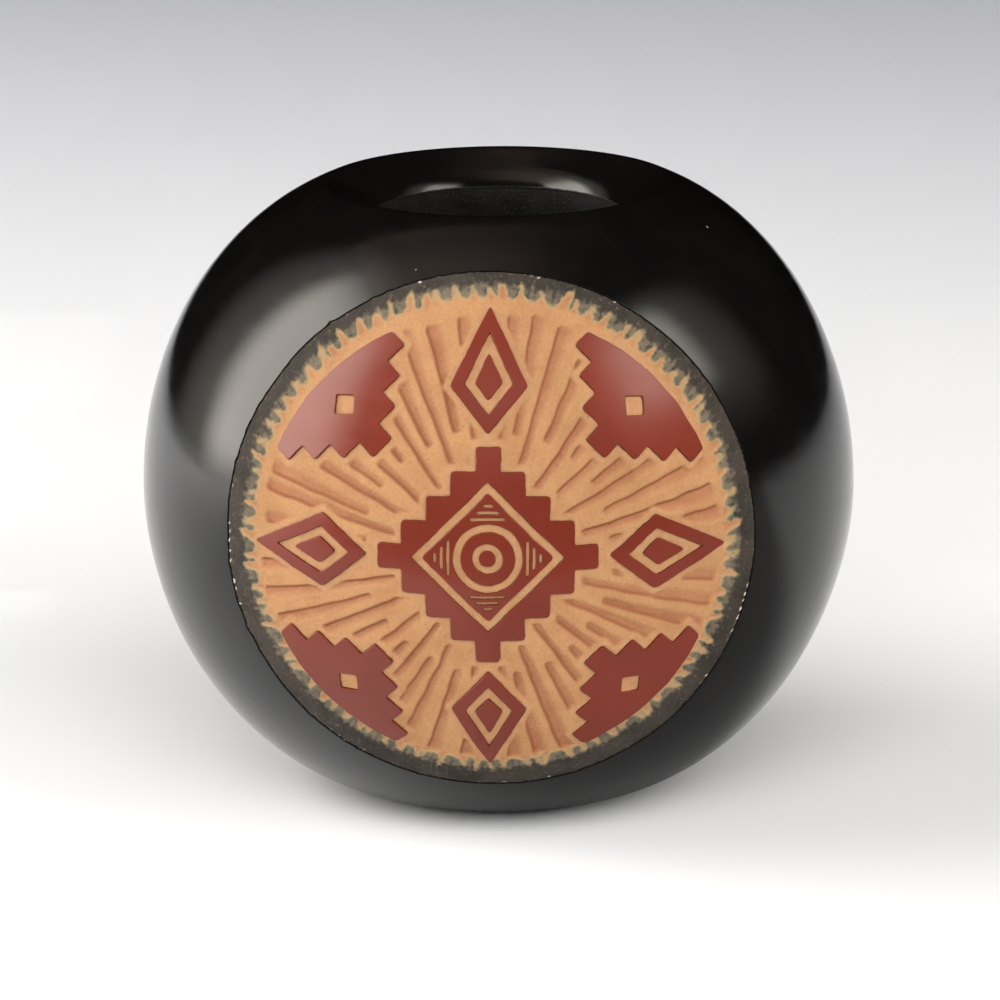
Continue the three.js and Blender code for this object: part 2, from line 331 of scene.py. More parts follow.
def make_smoked_clay():
    """Bare clay that the smoke has turned black, dull and slightly gritty."""
    material, tree, shader = new_material("smoked_clay")
    grain = mix_clay(tree, *smoked_tones)
    fill_sockets(
        tree, shader, Base_Color=grain["Colour"], Roughness=0.72, Specular_IOR_Level=dull_specular,
        Normal=relief(tree, grain["Height"], 0.00022),
    )
    return material


smoked_clay = make_smoked_clay()


def net_faces(rows, columns, ring=False, tube=False):
    """Faces between rows of corners. A ring joins each row's ends, a tube the last row and the first."""
    corner = np.arange(rows * columns).reshape(rows, columns)
    if ring:
        corner = np.hstack([corner, corner[:, :1]])
    if tube:
        corner = np.vstack([corner, corner[:1]])
    low, high = corner[:-1], corner[1:]
    return np.stack([low[:, :-1], low[:, 1:], high[:, 1:], high[:, :-1]], axis=-1).reshape(-1, 4)


def spun_dish(profile):
    """A closed body turned from a profile that starts and ends on the axis."""
    turn = np.linspace(0, 2 * math.pi, turns_around, endpoint=False)
    body = spun(profile[1:-1], turn).reshape(-1, 3)
    count = len(body)
    last = count - turns_around
    faces = net_faces(len(profile) - 2, turns_around, ring=True).tolist()
    for here in range(turns_around):
        beside = (here + 1) % turns_around
        faces += [(count, beside, here), (count + 1, last + here, last + beside)]
    ends = [[0, 0, profile[0][1]], [0, 0, profile[-1][1]]]
    return np.concatenate([body, ends]), faces


def make_base_dish():
    """The dish, from the flat of its foot to the scarf that takes the first coil."""
    edge = dish_edge_round
    foot = [
        [0, edge], [foot_radius - 8 * edge, edge], [foot_radius - 5 * edge, 0.3 * edge],
        [foot_radius - 3 * edge, 0], [foot_radius - edge, 0], [foot_radius - 0.3 * edge, 0.3 * edge],
        [foot_radius, edge],
    ]
    outer = wall_point(np.linspace(0, dish_length, dish_stations), clay_depth)
    shares = np.linspace(1, 0, dish_stations)
    inner = wall_point(shares * (dish_length - scarf_length), inside_depth)
    floor = [[foot_radius * share, inside_depth] for share in (0.75, 0.5, 0.25, 0)]
    corners, faces = spun_dish(np.concatenate([foot, outer, inner, floor]))
    inside = corners[:, 2] > 0.9 * inside_depth
    corners[:, 2] += finger_marks * waves(corners, 0.007, 21) * inside
    return new_piece("base_dish_clay", shaped_by_hand(corners), faces, smoked_clay)


base_dish = make_base_dish()
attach(base_dish, "root")
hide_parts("base_dish")

# Wall coils. Ropes of clay about 6 mm thick are laid in rings on the dish, each scarfed onto the one below
# and smeared over it, so that only soft creases show inside. The smoke has blackened their inner side,
# and the clay stays tan under the slip.
coil_count = 12
lip_length = 0.0026
coil_stations = 7
coil_bulge = 0.00035
joint_gap = 0.00002
rope_end_gap = 0.00006
end_places = 3
first_end_turn = math.radians(5)
end_stagger = math.radians(85)
lip_start = wall_length - lip_length
joints = np.linspace(dish_length, lip_start, coil_count + 1)


def laid_rope(profile, number):
    """A rope of clay laid in a ring. Its two ends meet in a leaning cut, staggered from coil to coil."""
    middle = (profile.max(axis=0) + profile.min(axis=0)) / 2
    start = first_end_turn + end_stagger * (number % end_places)
    lean = -(profile[:, 1] - middle[1]) / middle[0]
    open_turn = 2 * math.pi - rope_end_gap / middle[0]
    turn = start + lean[:, None] + open_turn * np.linspace(0, 1, turns_around)
    corners = spun(profile, turn)
    faces = net_faces(len(profile), turns_around, tube=True).tolist()
    outline = [Vector((*point, 0)) for point in profile.tolist()]
    last = turns_around - 1
    for a, b, c in geometry.tessellate_polygon([outline]):
        if (outline[b] - outline[a]).cross(outline[c] - outline[a]).z < 0:
            b, c = c, b
        faces.append((a * turns_around, b * turns_around, c * turns_around))
        faces.append((a * turns_around + last, c * turns_around + last, b * turns_around + last))
    return corners.reshape(-1, 3), faces


def set_mask(piece, name, values):
    """Writes one value to each corner of a piece, for its material to read."""
    mask = piece.data.attributes.new(name, "FLOAT", "POINT")
    mask.data.foreach_set("value", np.asarray(values, dtype=np.float32))


def read_mask(tree, name):
    """The mask that a piece carries on its corners."""
    return add_node(tree, "ShaderNodeAttribute", {"attribute_name": name}).outputs["Fac"]


def make_coil_clay():
    """Wall clay: tan under the slip and black inside, where the smoke reached it."""
    material, tree, shader = new_material("coil_clay")
    smoked = mix_clay(tree, (44, 40, 37), (28, 26, 25), (110, 102, 92), 0.12)
    tan = mix_clay(tree, (182, 138, 96), (170, 121, 82), (130, 88, 60), 0.1)
    cloud = noise(tree, surface_place(tree), 300.0)
    smoke = stretch(tree, work_out(tree, "ADD", read_mask(tree, "smoke"), cloud), 0.75, 1.15)
    fill_sockets(
        tree, shader, Base_Color=blend_colours(tree, smoke, tan["Colour"], smoked["Colour"]),
        Roughness=0.85, Normal=relief(tree, smoked["Height"], 0.00018),
    )
    return material


coil_clay = make_coil_clay()


def make_wall_coil(number):
    """One rope of the wall, pressed flat outside and a little swollen inside."""
    share = np.linspace(0, 1, coil_stations)
    low, high = joints[number] + joint_gap, joints[number + 1] - joint_gap
    outer = wall_point(low + (high - low) * share, clay_depth)
    bulge = coil_bulge * (1 - (2 * share - 1) ** 2)
    inner = wall_point(high - (high - low) * share - scarf_length, inside_depth + bulge)
    corners, faces = laid_rope(np.concatenate([outer, inner]), number)
    smoke = np.repeat([0.0, 1.0], coil_stations * turns_around)
    marks = finger_marks * waves(corners, 0.009, 31) * smoke / belly_radius
    corners[:, :2] *= (1 - marks)[:, None]
    piece = new_piece(f"wall_coil_{number + 1:02d}_clay", shaped_by_hand(corners), faces, coil_clay)
    set_mask(piece, "smoke", smoke)
    return piece


for number in range(coil_count):
    coil = make_wall_coil(number)
    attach(coil, "root")
    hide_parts(f"wall_coil_{number + 1:02d}")

# Lip coil. The last and thickest rope makes the rounded rim, the bed of the funnel and the plain throat
# below it. It is earthenware too. Its throat was never slipped or polished, so it shows as dull black
# clay with pale grit, from the step that the slip's end lies in.
throat_drop = 0.0056
throat_round = 0.0009
throat_marks = 0.0001
lip_cover = 0.00002
bare_depth = 0.00003


def make_lip_coil():
    """The lip, from its joint over the rim and down to the throat's rounded lower edge."""
    lengths = np.concatenate([
        np.linspace(lip_start + joint_gap, wall_length, 5),
        np.linspace(wall_length, rim_end, 8)[1:],
        np.linspace(rim_end, slip_end, 16)[1:],
    ])
    bed = wall_point(lengths, slip_thickness + lip_cover)
    spin = np.linspace(slip_end_facing + lip_cover / throat_bend, math.pi, 10)
    bend = bend_centre + (throat_bend - bare_depth) * compass(spin)
    throat_bottom = corner_height - throat_drop
    heights = np.linspace(bend_centre[1], throat_bottom + throat_round, 6)[1:]
    throat = np.stack([np.full(5, throat_radius + bare_depth), heights], axis=-1)
    turn = np.linspace(0, math.pi / 2, 5)[1:]
    under = np.stack([
        throat_radius + bare_depth + throat_round * (1 - np.cos(turn)),
        throat_bottom + throat_round * (1 - np.sin(turn)),
    ], axis=-1)
    inner = wall_point(np.array([lip_start + joint_gap - scarf_length]), inside_depth)
    corners, faces = laid_rope(np.concatenate([bed, bend, throat, under, inner]), coil_count)
    bare = np.zeros(len(corners), dtype=bool)
    bare[len(bed) * turns_around:-turns_around] = True
    marks = throat_marks * (0.5 + 0.5 * waves(corners, 0.006, 41)) * bare / throat_radius
    corners[:, :2] *= (1 + marks)[:, None]
    return new_piece("lip_coil_clay", shaped_by_hand(corners), faces, smoked_clay)


lip_coil = make_lip_coil()
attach(lip_coil, "root")
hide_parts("lip_coil")

# Black slip coat. Fine clay slip is brushed over the bowl from the foot, over the rim and down the funnel,
# burnished with a smooth stone and fired black in smoke. The carver then cut it away inside a round border,
# a little unevenly, and here and there the edge has chipped.
panel_radius = 0.036
panel_turn = math.radians(-1.6)
panel_tilt = math.radians(2.5)
border_wander = 0.00012
border_nicks = 0.00004
chip_count = 34
chip_depth = 0.00028
coat_columns = 420
coat_row_height = 0.00068
cut_round = 0.00014
cut_steps = 3
polish_fade = 0.0006
edge_margin = 0.001

panel_axis = np.array([
    math.sin(panel_turn) * math.cos(panel_tilt),
    -math.cos(panel_turn) * math.cos(panel_tilt),
    math.sin(panel_tilt),
])
panel_right = np.array([math.cos(panel_turn), math.sin(panel_turn), 0])
panel_up = np.cross(panel_axis, panel_right)
path_rise = np.arctan2(path_points[:, 1] - belly_height, path_points[:, 0])


def ease(value, low, high):
    """Goes smoothly from 0 at low to 1 at high."""
    share = np.clip((value - low) / (high - low), 0, 1)
    return share * share * (3 - 2 * share)


def laid_flat(points):
    """Place on the panel laid out flat: how far along the surface to the right and up from its centre."""
    way = unit(points - [0, 0, belly_height])
    reach = belly_radius * np.arccos(np.clip(way @ panel_axis, -1, 1))
    return reach[:, None] * compass(np.arctan2(way @ panel_up, way @ panel_right))


def polar(flat):
    """How far places on the flat panel lie from its centre, and their turn about it."""
    return np.hypot(*flat.T), np.arctan2(flat[:, 1], flat[:, 0])


def turn_from(middle, turn):
    """How far a turn lies from another, the short way round."""
    return (turn - middle + math.pi) % (2 * math.pi) - math.pi


def border_at(turn):
    """The border that the knife cut, at a turn about the panel's centre."""
    ring = panel_radius * compass(turn)
    border = panel_radius + border_wander * waves(ring, 0.016, 51)
    border += border_nicks * waves(ring, 0.0016, 52)
    draw = np.random.default_rng(53)
    for _ in range(chip_count):
        middle = draw.normal(math.pi * 1.04, 0.5) if draw.random() < 0.6 else draw.uniform(0, 2 * math.pi)
        width = draw.uniform(0.00015, 0.0005)
        away = turn_from(middle, turn) * panel_radius
        border = border + chip_depth * draw.uniform(0.3, 1) * np.exp(-((away / width) ** 2))
    return border


def coat_place(length, turn):
    """Place on the polished surface at a length along its outline and a turn about the bowl's axis."""
    radius, height = wall_point(length, 0.0).T
    return np.stack([radius * np.cos(turn), radius * np.sin(turn), height], axis=-1)


def beyond_border(length, turn):
    """How far a place lies outside the panel's border, less the round of the cut edge."""
    reach, around = polar(laid_flat(coat_place(length, turn)))
    return reach - border_at(around) - cut_round


def coat_facing(length, turn):
    """Direction that the polished surface faces, found from four places close by."""
    spin = nudge / np.maximum(wall_point(length, 0.0)[..., 0], nudge)
    up = shaped_by_hand(coat_place(length + nudge, turn)) - shaped_by_hand(coat_place(length - nudge, turn))
    right, left = coat_place(length, turn + spin), coat_place(length, turn - spin)
    along = shaped_by_hand(right) - shaped_by_hand(left)
    return unit(np.cross(along, up))


def drop_unused(faces):
    """The corners that some faces use, and the faces with those corners numbered anew."""
    used = np.unique([corner for face in faces for corner in face])
    number = {corner: i for i, corner in enumerate(used.tolist())}
    return used, [tuple(number[corner] for corner in face) for face in faces]


def open_coat():
    """The coat's outside as a net of faces, with the panel's opening cut exactly along its border."""
    rows = int((wall_length - slip_thickness) / coat_row_height)
    lengths = np.concatenate([
        np.linspace(slip_thickness / 2, wall_length, rows),
        np.linspace(wall_length, rim_end, 12)[1:],
        np.linspace(rim_end, slip_end - cut_round, 26)[1:],
    ])
    turns = np.linspace(0, 2 * math.pi, coat_columns, endpoint=False)
    net_length = np.repeat(lengths, coat_columns)
    net_turn = np.tile(turns, len(lengths))
    beyond = beyond_border(net_length, net_turn)
    count = len(net_length)
    cells = net_faces(len(lengths), coat_columns, ring=True)
    kept = beyond[cells] > 0
    faces = [tuple(face) for face in cells[kept.all(axis=1)].tolist()]
    cuts = {}
    for corners in cells[kept.any(axis=1) & ~kept.all(axis=1)].tolist():
        face = []
        for here, there in zip(corners, corners[1:] + corners[:1]):
            if beyond[here] > 0:
                face.append(here)
            if (beyond[here] > 0) != (beyond[there] > 0):
                face.append(cuts.setdefault((min(here, there), max(here, there)), count + len(cuts)))
        faces.append(tuple(face))
    start, end = np.array(list(cuts)).T
    start_length, start_turn = net_length[start], net_turn[start]
    length_gap = net_length[end] - start_length
    turn_gap = turn_from(start_turn, net_turn[end])
    low, high = np.zeros(len(start)), np.ones(len(start))
    for _ in range(14):
        middle = (low + high) / 2
        value = beyond_border(start_length + middle * length_gap, start_turn + middle * turn_gap)
        same = (value > 0) == (beyond[start] > 0)
        low, high = np.where(same, middle, low), np.where(same, high, middle)
    net_length = np.concatenate([net_length, start_length + low * length_gap])
    net_turn = np.concatenate([net_turn, start_turn + low * turn_gap])
    used, faces = drop_unused(faces)
    return net_length[used], net_turn[used], faces


def edges_of(faces):
    """Edges that only one face uses, each in the order in which that face runs along it."""
    found = {}
    for face in faces:
        for here, there in zip(face, face[1:] + face[:1]):
            if found.pop((there, here), None) is None:
                found[(here, there)] = True
    return list(found)


def thick_coat(top, facing, faces, ways, thickness, rounding, flare=0.0):
    """A closed coat under a net of faces, with a rounded cut edge. Ways point out over each edge."""
    rim = edges_of(faces)
    corners = sorted({corner for edge in rim for corner in edge})
    number = {corner: i for i, corner in enumerate(corners)}
    rim_top, rim_facing, rim_ways = top[corners], facing[corners], ways[corners]
    rings, ring_facing = [top], [facing]
    for angle in np.linspace(0, math.pi / 2, cut_steps + 1)[1:]:
        out = rounding * math.sin(angle) * rim_ways
        rings.append(rim_top + out - rounding * (1 - math.cos(angle)) * rim_facing)
        ring_facing.append(math.cos(angle) * rim_facing + math.sin(angle) * rim_ways)
    under = top - thickness * facing
    under[corners] += (rounding + flare) * rim_ways
    rings.append(under)
    ring_facing.append(-facing)
    first = [len(top) + i * len(corners) for i in range(cut_steps + 1)]
    solid = list(faces)
    solid += [tuple(first[-1] + corner for corner in reversed(face)) for face in faces]
    for here, there in rim:
        a, b = number[here], number[there]
        across = [(here, there)] + [(start + a, start + b) for start in first[:-1]]
        across.append((first[-1] + here, first[-1] + there))
        for (left, right), (left_below, right_below) in zip(across, across[1:]):
            solid.append((left, left_below, right_below, right))
    return np.concatenate(rings), unit(np.concatenate(ring_facing)), solid


def make_polish_marks():
    """A stone-burnished coat: soft strokes in its gloss, faint scratches, dust and a few pale nicks."""
    group, given, out = new_group(
        "polish_marks",
        [
            ("Slip", "NodeSocketColor", (0.1, 0.1, 0.1, 1)),
            ("Clouds", "NodeSocketColor", (0.1, 0.1, 0.1, 1)),
            ("Nicks", "NodeSocketColor", (0.5, 0.5, 0.5, 1)),
            ("Nick Share", "NodeSocketFloat", 0.05),
            ("Gloss Low", "NodeSocketFloat", 0.1),
            ("Gloss High", "NodeSocketFloat", 0.2),
        ],
        [("Colour", "NodeSocketColor"), ("Roughness", "NodeSocketFloat"), ("Height", "NodeSocketFloat")],
    )
    place = surface_place(group)
    cloud = stretch(group, noise(group, place, 120.0, 3.0), 0.35, 0.7)
    slip = blend_colours(group, cloud, given["Slip"], given["Clouds"])
    strokes = add_node(group, "ShaderNodeMapping", Vector=place, Scale=(0.12, 0.12, 1.0))
    stroke = noise(group, strokes.outputs["Vector"], 900.0, 2.0)
    fog = noise(group, place, 420.0, 4.0)
    both = work_out(group, "ADD", stroke, fog)
    gloss = stretch(group, both, 0.75, 1.25, given["Gloss Low"], given["Gloss High"])
    cells = add_node(group, "ShaderNodeTexVoronoi", Vector=place, Scale=420.0).outputs
    rough_edge = work_out(group, "MULTIPLY_ADD", noise(group, place, 2200.0, 2.0), 0.09, cells["Distance"])
    chosen = add_node(group, "ShaderNodeSeparateColor", Color=cells["Color"]).outputs["Green"]
    few = work_out(group, "LESS_THAN", chosen, given["Nick Share"])
    nick = work_out(group, "MULTIPLY", stretch(group, rough_edge, 0.135, 0.10), few)
    group.links.new(blend_colours(group, nick, slip, given["Nicks"]), out["Colour"])
    group.links.new(work_out(group, "MAXIMUM", gloss, nick), out["Roughness"])
    group.links.new(work_out(group, "MULTIPLY_ADD", nick, -1.0, stroke), out["Height"])
    return group


polish_marks = make_polish_marks()


def make_black_slip():
    """Slip burnished to a deep gloss and fired black. Down in the throat the stone did not reach it.
    What it throws back on the table is spread, so that no hard line of light falls there."""
    material, tree, shader = new_material("black_slip")
    marks = use_group(
        tree, polish_marks, Slip=colour(8, 7, 7), Clouds=colour(12, 10, 9),
        Nicks=colour(120, 113, 104), Nick_Share=0.03, Gloss_Low=0.11, Gloss_High=0.15,
    )
    grit = mix_clay(tree, *smoked_tones)
    grainy = noise(tree, surface_place(tree), 1400.0)
    bare = work_out(tree, "MULTIPLY_ADD", grainy, 0.5, read_mask(tree, "unpolished"))
    bare = stretch(tree, bare, 0.5, 1.1)
    dull = add_node(tree, "ShaderNodeMix", i0=bare, i2=marks["Roughness"], i3=0.6).outputs[0]
    spread = add_node(tree, "ShaderNodeLightPath").outputs["Is Diffuse Ray"]
    sheen = add_node(tree, "ShaderNodeMix", i0=bare, i2=0.5, i3=dull_specular).outputs[0]
    fill_sockets(
        tree, shader, Base_Color=blend_colours(tree, bare, marks["Colour"], grit["Colour"]),
        Roughness=work_out(tree, "MAXIMUM", dull, spread), Specular_IOR_Level=sheen, IOR=1.47,
        Normal=relief(tree, marks["Height"], 0.0000025),
    )
    return material


black_slip = make_black_slip()


def make_black_slip_coat():
    """The coat over the whole bowl. Its cut edges face the panel, the foot and the throat."""
    length, turn, faces = open_coat()
    true_place = coat_place(length, turn)
    top = shaped_by_hand(true_place)
    facing = coat_facing(length, turn)
    near_panel = polar(laid_flat(true_place))[0] < panel_radius + edge_margin
    target = np.where(near_panel[:, None], belly_radius * panel_axis + [0, 0, belly_height], 0.0)
    target[~near_panel, 2] = true_place[~near_panel, 2]
    throat = ~near_panel & (length > rim_end)
    target[throat] = top[throat] - [0, 0, throat_bend]
    ways = target - top
    ways = unit(ways - (ways * facing).sum(axis=1, keepdims=True) * facing)
    corners, all_facing, solid = thick_coat(top, facing, faces, ways, slip_thickness, cut_round)
    piece = new_piece("black_slip_polished", corners, solid, black_slip, all_facing)
    unpolished = ease(length, slip_end - polish_fade, slip_end)
    set_mask(piece, "unpolished", np.append(unpolished, np.ones(len(corners) - len(length))))
    return piece


black_slip_coat = make_black_slip_coat()
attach(black_slip_coat, "root")
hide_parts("black_slip_coat")

# Red slip areas. Red slip was brushed on the panel before firing and burnished like the black. The carving
# leaves islands of it standing: a stepped star with a sun in its window, four kites and four cloud
# terraces. Their edges lean where the knife leaned.
star_reach = 0.0136
star_steps = 4
star_window = 0.0094
star_groove = 0.001
sun_radius = 0.0033
sun_groove = 0.001
sun_ring = 0.0014
sun_dot = 0.001
kite_gap = 0.0014
kite_margin = 0.0048
kite_shoulder = 0.006
kite_half_width = 0.0048
kite_frame = 0.0015
kite_groove = 0.0011
terrace_margin = 0.0054
terrace_half_angle = math.radians(20.6)
terrace_steps = 4
terrace_step_height = 0.0025
terrace_tip = 0.0017
terrace_window = 0.0017
terrace_window_depth = 0.0046
hatch_width = 0.00042
hatch_pitch = 0.00078
hatch_count = 3
hatch_margin = 0.0007
red_sink = 0.00004
red_thickness = 0.00052
red_round = 0.00009
knife_lean = 0.0001
cut_spacing = 0.00025
cut_wander = 0.00008
cut_shake = 0.00003
red_spacing = 0.0005
longest_way = 1.4


def turned_outline(outline, angle):
    """An outline turned about the panel's centre."""
    across = np.array([math.cos(angle), math.sin(angle)])
    return outline @ np.array([across, [-across[1], across[0]]])


def circle(radius):
    """A circle about the panel's centre."""
    return radius * np.array([[math.cos(a), math.sin(a)] for a in np.linspace(0, 2 * math.pi, 49)[:-1]])


def stepped_diamond(reach, steps):
    """A cross-shaped star whose four sides climb in equal steps."""
    step = reach / (steps + 0.5)
    quarter = []
    for i in range(steps + 1):
        quarter.append([reach - i * step, (i + 0.5) * step])
        if i < steps:
            quarter.append([reach - (i + 1) * step, (i + 0.5) * step])
    return np.concatenate([turned_outline(np.array(quarter), math.pi / 2 * i) for i in range(4)])


def diamond(half_width, low, waist, high):
    """A diamond with its corners at three heights, its waist the widest."""
    return np.array([[half_width, waist], [0, high], [-half_width, waist], [0, low]])


def inset(outline, width):
    """Each side of a counter-clockwise outline moved inwards by the same width."""
    side = np.roll(outline, -1, axis=0) - outline
    side = unit(np.stack([-side[:, 1], side[:, 0]], axis=-1))
    before = np.roll(side, 1, axis=0)
    share = 1 + (before * side).sum(axis=1, keepdims=True)
    return outline + width * (before + side) / share


def terrace():
    """Stairs that climb down from the panel's border to a blunt tip near the star."""
    radius = panel_radius - terrace_margin
    arc = [
        [radius * math.sin(a), radius * math.cos(a)]
        for a in np.linspace(terrace_half_angle, -terrace_half_angle, 9)
    ]
    step_width = (arc[0][0] - terrace_tip) / (terrace_steps - 1)
    stairs = []
    for i in range(terrace_steps):
        x = arc[0][0] - i * step_width
        height = arc[0][1] - i * terrace_step_height
        if i > 0:
            stairs.append([x, height])
        stairs.append([x, height - terrace_step_height])
    return np.array(arc + [[-x, y] for x, y in stairs] + stairs[::-1])


def hatch_slots(reach, start):
    """Short slots cut across one corner of a diamond, each shorter than the last."""
    slots = []
    for i in range(hatch_count):
        height = start + i * hatch_pitch
        half = reach - height - hatch_width - hatch_margin
        slots.append(np.array([
            [-half, height], [half, height], [half, height + hatch_width], [-half, height + hatch_width],
        ]))
    return slots


def red_outlines():
    """Outline and holes of each island, laid out flat, by the name of its CAD node."""
    window = diamond(star_window, -star_window, 0, star_window)
    core = inset(window, star_groove)
    sun_hole = sun_radius + sun_groove
    slots = hatch_slots(core[1][1], sun_hole + 0.8 * hatch_width)
    core_holes = [turned_outline(slot, math.pi / 2 * i) for i in range(4) for slot in slots]
    areas = {
        "star_frame": (stepped_diamond(star_reach, star_steps), [window]),
        "star_diamond": (core, [circle(sun_hole)] + core_holes),
        "star_sun_ring": (circle(sun_radius), [circle(sun_radius - sun_ring)]),
        "star_sun_dot": (circle(sun_dot), []),
    }
    start = star_reach + kite_gap
    kite = diamond(kite_half_width, start, start + kite_shoulder, panel_radius - kite_margin)
    for i, side in enumerate(["top", "left", "bottom", "right"]):
        turn = math.pi / 2 * i
        hole = turned_outline(inset(kite, kite_frame), turn)
        areas[f"kite_frame_{side}"] = (turned_outline(kite, turn), [hole])
        heart = inset(kite, kite_frame + kite_groove)
        areas[f"kite_heart_{side}"] = (turned_outline(heart, turn), [])
    middle = panel_radius - terrace_margin - terrace_window_depth
    hole = diamond(terrace_window, middle - terrace_window, middle, middle + terrace_window)
    for i, side in enumerate(["upper_left", "lower_left", "lower_right", "upper_right"]):
        turn = math.pi / 2 * (i + 0.5)
        areas[f"cloud_terrace_{side}"] = (turned_outline(terrace(), turn), [turned_outline(hole, turn)])
    return areas


def cut_by_hand(outline, clockwise):
    """The top edge as a knife leaves it: corners a little rounded and sides not quite straight."""
    area = (outline[:, 0] * np.roll(outline[:, 1], -1) - np.roll(outline[:, 0], -1) * outline[:, 1]).sum()
    if (area < 0) != clockwise:
        outline = outline[::-1]
    outline = inset(outline, red_round)
    points = []
    for here, there in zip(outline, np.roll(outline, -1, axis=0)):
        count = max(1, round(np.linalg.norm(there - here) / cut_spacing))
        points += [here + (there - here) * k / count for k in range(count)]
    points = np.array(points)
    for _ in range(2):
        points = 0.25 * np.roll(points, 1, axis=0) + 0.5 * points + 0.25 * np.roll(points, -1, axis=0)
    wander = np.stack([waves(points, 0.005, 61), waves(points, 0.005, 62)], axis=-1)
    shake = np.stack([waves(points, 0.0013, 63), waves(points, 0.0013, 64)], axis=-1)
    return points + cut_wander * wander + cut_shake * shake


def sides_of(loops):
    """Start and end points of all the sides of some outlines."""
    starts = np.concatenate(loops)
    ends = np.concatenate([np.roll(loop, -1, axis=0) for loop in loops])
    return starts, ends


def is_within(points, loops):
    """Whether points lie inside the outlines, counting the sides that a line to the right crosses."""
    starts, ends = sides_of(loops)
    within = np.zeros(len(points), dtype=bool)
    for (x0, y0), (x1, y1) in zip(starts, ends):
        if y0 != y1:
            level = (points[:, 1] < y0) != (points[:, 1] < y1)
            within ^= level & (points[:, 0] < x0 + (points[:, 1] - y0) * (x1 - x0) / (y1 - y0))
    return within


def distance_to(points, loops):
    """How far points are from the nearest side of the outlines."""
    starts, ends = sides_of(loops)
    nearest = np.full(len(points), np.inf)
    for start, end in zip(starts, ends):
        side = end - start
        share = np.clip((points - start) @ side / (side @ side), 0, 1)
        nearest = np.minimum(nearest, np.hypot(*(points - start - share[:, None] * side).T))
    return nearest


def fill_outlines(loops, spacing):
    """Points and triangles that fill an outline around its holes, the outlines' own points first."""
    rim = np.concatenate(loops)
    low, high = rim.min(axis=0), rim.max(axis=0)
    rows = []
    for i, y in enumerate(np.arange(low[1], high[1], spacing * 0.87)):
        x = np.arange(low[0] + spacing / 2 * (i % 2), high[0], spacing)
        rows.append(np.stack([x, np.full(len(x), y)], axis=-1))
    inside = np.concatenate(rows)
    inside = inside[is_within(inside, loops)]
    inside = inside[distance_to(inside, loops) > 0.6 * spacing]
    sides, start = [], 0
    for loop in loops:
        sides += [(start + i, start + (i + 1) % len(loop)) for i in range(len(loop))]
        start += len(loop)
    flat = np.concatenate([rim, inside])
    scaled = [Vector(point) for point in (flat * 1000).tolist()]
    points, _, triangles = geometry.delaunay_2d_cdt(scaled, sides, [], 0, 1e-6)[:3]
    assert len(points) == len(flat), "an outline crosses itself"
    triangles = np.array(triangles)
    a, b, c = (flat[triangles[:, k]] for k in range(3))
    turn = (b - a)[:, 0] * (c - a)[:, 1] - (b - a)[:, 1] * (c - a)[:, 0]
    triangles[turn < 0] = triangles[turn < 0][:, ::-1]
    triangles = triangles[is_within((a + b + c) / 3, loops)]
    return flat, [tuple(face) for face in triangles.tolist()]


def panel_place(flat, depth):
    """Place on the bowl of points of the flat panel, at a depth under the polished surface."""
    reach, turn = polar(flat)
    away = reach / belly_radius
    across = np.cos(turn)[:, None] * panel_right + np.sin(turn)[:, None] * panel_up
    way = np.cos(away)[:, None] * panel_axis + np.sin(away)[:, None] * across
    length = np.interp(np.arctan2(way[:, 2], np.hypot(way[:, 0], way[:, 1])), path_rise, path_lengths)
    profile = wall_point(length, np.broadcast_to(depth, length.shape))
    side = way[:, :2] / np.hypot(way[:, 0], way[:, 1])[:, None]
    place = np.concatenate([side * profile[:, :1], profile[:, 1:]], axis=1)
    return shaped_by_hand(place)


def panel_facing(flat):
    """Direction that the polished surface faces at points of the flat panel."""
    right, up = nudge * np.eye(2)
    along = panel_place(flat + right, 0.0) - panel_place(flat - right, 0.0)
    rise = panel_place(flat + up, 0.0) - panel_place(flat - up, 0.0)
    return unit(np.cross(along, rise))


def make_red_slip():
    """Slip burnished to a soft gloss and fired brick red."""
    material, tree, shader = new_material("red_slip")
    marks = use_group(
        tree, polish_marks, Slip=colour(111, 44, 31), Clouds=colour(105, 41, 28),
        Nicks=colour(170, 124, 90), Nick_Share=0.01, Gloss_Low=0.22, Gloss_High=0.27,
    )
    fill_sockets(
        tree, shader, Base_Color=marks["Colour"], Roughness=marks["Roughness"], IOR=1.43,
        Normal=relief(tree, marks["Height"], 0.000006),
    )
    return material


red_slip = make_red_slip()
red_areas = red_outlines()


def make_red_area(name, outline, holes):
    """One island of red slip on its bed of clay."""
    loops = [cut_by_hand(outline, False)] + [cut_by_hand(hole, True) for hole in holes]
    ways_flat = np.concatenate([inset(loop, -red_round) - loop for loop in loops]) / red_round
    flat, faces = fill_outlines(loops, red_spacing)
    top = panel_place(flat, red_sink)
    facing = panel_facing(flat)
    rim = len(ways_flat)
    ways_flat /= np.maximum(np.linalg.norm(ways_flat, axis=1, keepdims=True) / longest_way, 1)
    ways = np.zeros_like(top)
    ways[:rim] = (panel_place(flat[:rim] + nudge * ways_flat, red_sink) - top[:rim]) / nudge
    corners, all_facing, solid = thick_coat(
        top, facing, faces, ways, red_thickness, red_round, knife_lean
    )
    return new_piece(f"{name}_slip", corners, solid, red_slip, all_facing)


for name, (outline, holes) in red_areas.items():
    area = make_red_area(name, outline, holes)
    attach(area, "root")
    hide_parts(name)

